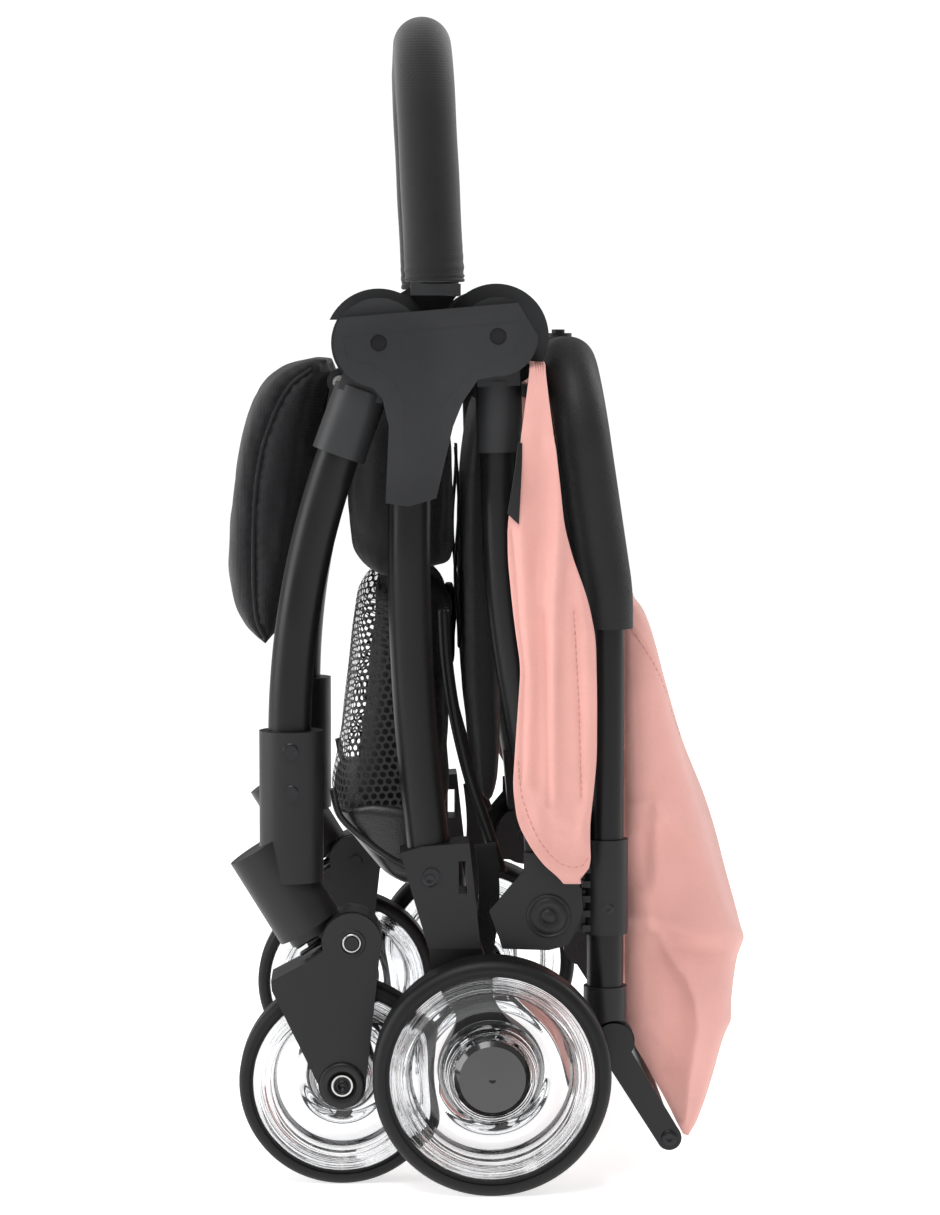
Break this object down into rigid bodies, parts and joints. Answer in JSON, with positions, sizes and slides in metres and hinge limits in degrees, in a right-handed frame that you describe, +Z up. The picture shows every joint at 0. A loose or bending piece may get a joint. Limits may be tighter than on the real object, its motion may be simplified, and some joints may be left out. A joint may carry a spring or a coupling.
{
  "type": "baby stroller",
  "caption": "Compact folding baby stroller stored upright, with clear-rimmed wheels, coupled folding frame, push handle, canopy and carry bar.",
  "frame": {"origin": "centre of the folded stroller's footprint, on the ground", "axes": "+X towards the stroller's rear, +Y towards its right side, +Z up"},
  "size_m": [0.3235, 0.462, 0.713],
  "materials": {
    "frame_tube": "satin black powder coat on aluminium tube",
    "housing_plastic": "fine textured charcoal moulding",
    "trim_plastic": "smooth satin charcoal",
    "steel": "zinc plated",
    "rivet_metal": "blackened, worn on the rim",
    "arm_metal": "satin black",
    "clear_rim": "clear glossy polycarbonate",
    "tyre_foam": "foam rubber",
    "hub_cap": "smoked dark gloss",
    "black_fabric": "black woven polyester",
    "webbing": "black nylon webbing",
    "pink_fabric": "peach pink woven polyester",
    "grip_leather": "black leatherette",
    "sleeve_fabric": "black knitted foam sleeve"
  },
  "bodies": {
    "rear_frame": {"hub_left": "housing_plastic", "hub_right": "housing_plastic", "hub_inner_plates": "housing_plastic", "hub_inlays": "trim_plastic", "hub_pins": "steel", "rear_leg_left": "frame_tube", "rear_leg_right": "frame_tube", "rear_casting_left": "housing_plastic", "rear_casting_right": "housing_plastic", "rear_cross_bar": "frame_tube", "rear_axles": "steel", "rear_rivets": "rivet_metal", "seat_base": "black_fabric", "basket": "black_fabric"},
    "brake": {"brake_pedal": "housing_plastic"},
    "front_frame": {"front_leg_left": "frame_tube", "front_leg_right": "frame_tube", "front_socket_left": "housing_plastic", "front_socket_right": "housing_plastic", "front_casting_left": "housing_plastic", "front_casting_right": "housing_plastic", "front_cross_bar": "frame_tube", "front_rivets": "rivet_metal", "leg_rest_rod": "steel"},
    "leg_rest": {"leg_rest_pad": "black_fabric", "leg_rest_board": "housing_plastic"},
    "caster_left": {"fork_left": "housing_plastic"},
    "caster_right": {"fork_right": "housing_plastic"},
    "suspension_left": {"swing_arm_left": "housing_plastic", "front_axle_left": "steel"},
    "suspension_right": {"swing_arm_right": "housing_plastic", "front_axle_right": "steel"},
    "front_wheel_left": {"front_rim_left": "clear_rim", "front_tyre_left": "tyre_foam"},
    "front_wheel_right": {"front_rim_right": "clear_rim", "front_tyre_right": "tyre_foam"},
    "rear_wheel_left": {"rear_rim_left": "clear_rim", "rear_tyre_left": "tyre_foam", "rear_cap_left": "hub_cap"},
    "rear_wheel_right": {"rear_rim_right": "clear_rim", "rear_tyre_right": "tyre_foam", "rear_cap_right": "hub_cap"},
    "push_frame": {"push_tube_left": "frame_tube", "push_tube_right": "frame_tube", "push_sockets": "housing_plastic", "hinge_housing_left": "housing_plastic", "hinge_housing_right": "housing_plastic", "hinge_pins": "steel", "seat_back": "black_fabric", "harness": "webbing"},
    "handle": {"handle_bar": "frame_tube", "handle_grips": "grip_leather", "handle_clamps": "housing_plastic", "button_housing": "trim_plastic", "canopy_fabric": "pink_fabric"},
    "fold_button": {"fold_button": "trim_plastic"},
    "canopy": {"canopy_bow": "trim_plastic"},
    "backrest": {"recline_arms": "arm_metal", "rear_panel": "pink_fabric"},
    "carry_bar": {"carry_bar": "sleeve_fabric"}
  },
  "joints": [
    {"name": "fold", "type": "hinge", "parent": "rear_frame", "child": "front_frame", "pos_m": [-0.0705, 0, 0.513], "axis": [0, 1, 0], "range_deg": [0, 59.3]},
    {"name": "push_frame_fold", "type": "hinge", "parent": "rear_frame", "child": "push_frame", "pos_m": [0.001, 0, 0.517], "axis": [0, -1, 0], "range_deg": [0, 118]},
    {"name": "handle_fold", "type": "hinge", "parent": "push_frame", "child": "handle", "pos_m": [0.032, 0, 0.166], "axis": [0, 1, 0], "range_deg": [0, 173.5]},
    {"name": "carry_bar_swing", "type": "hinge", "parent": "rear_frame", "child": "carry_bar", "pos_m": [-0.0705, 0, 0.513], "axis": [0, -1, 0], "range_deg": [0, 42.5]},
    {"name": "canopy_open", "type": "hinge", "parent": "handle", "child": "canopy", "pos_m": [0.049, 0, 0.206], "axis": [0, -1, 0], "range_deg": [0, 95], "deforming": ["canopy_fabric"]},
    {"name": "backrest_recline", "type": "hinge", "parent": "handle", "child": "backrest", "pos_m": [0.0725, 0, 0.0865], "axis": [0, 1, 0], "range_deg": [0, 20]},
    {"name": "leg_rest_raise", "type": "hinge", "parent": "front_frame", "child": "leg_rest", "pos_m": [-0.0945, 0, 0.489], "axis": [0, 1, 0], "range_deg": [0, 35]},
    {"name": "caster_swivel_left", "type": "hinge", "parent": "front_frame", "child": "caster_left", "pos_m": [-0.11346, -0.178, 0.15732], "axis": [-0.5255, 0, 0.8508], "range_deg": [-8, 8]},
    {"name": "suspension_left", "type": "hinge", "parent": "caster_left", "child": "suspension_left", "pos_m": [-0.0875, -0.178, 0.15], "axis": [0, 1, 0], "range_deg": [0, 5], "stiffness_Nm_per_rad": 60, "springref_deg": -3.44},
    {"name": "front_wheel_spin_left", "type": "hinge", "parent": "suspension_left", "child": "front_wheel_left", "pos_m": [-0.0935, -0.178, 0.063], "axis": [0, 1, 0], "continuous": true},
    {"name": "caster_swivel_right", "type": "hinge", "parent": "front_frame", "child": "caster_right", "pos_m": [-0.11346, 0.178, 0.15732], "axis": [-0.5255, 0, 0.8508], "range_deg": [-8, 8]},
    {"name": "suspension_right", "type": "hinge", "parent": "caster_right", "child": "suspension_right", "pos_m": [-0.0875, 0.178, 0.15], "axis": [0, 1, 0], "range_deg": [0, 5], "stiffness_Nm_per_rad": 60, "springref_deg": -3.44},
    {"name": "front_wheel_spin_right", "type": "hinge", "parent": "suspension_right", "child": "front_wheel_right", "pos_m": [-0.0935, 0.178, 0.063], "axis": [0, 1, 0], "continuous": true},
    {"name": "rear_wheel_spin_left", "type": "hinge", "parent": "rear_frame", "child": "rear_wheel_left", "pos_m": [-0.003, -0.214, 0.072], "axis": [0, 1, 0], "continuous": true},
    {"name": "rear_wheel_spin_right", "type": "hinge", "parent": "rear_frame", "child": "rear_wheel_right", "pos_m": [-0.003, 0.214, 0.072], "axis": [0, 1, 0], "continuous": true},
    {"name": "brake_press", "type": "hinge", "parent": "rear_frame", "child": "brake", "pos_m": [-0.023, -0.1, 0.15], "axis": [0, 1, 0], "range_deg": [0, 20]},
    {"name": "fold_button_press", "type": "slide", "parent": "handle", "child": "fold_button", "axis": [0, 0, -1], "range_m": [0, 0.0025], "stiffness_N_per_m": 400}
  ],
  "couplings": [
    {"joint": "push_frame_fold", "follows": "fold", "ratio": 1.986},
    {"joint": "handle_fold", "follows": "fold", "ratio": 2.919},
    {"joint": "carry_bar_swing", "follows": "fold", "ratio": 0.71},
    {"joint": "canopy_open", "follows": "fold", "ratio": 1.6}
  ]
}
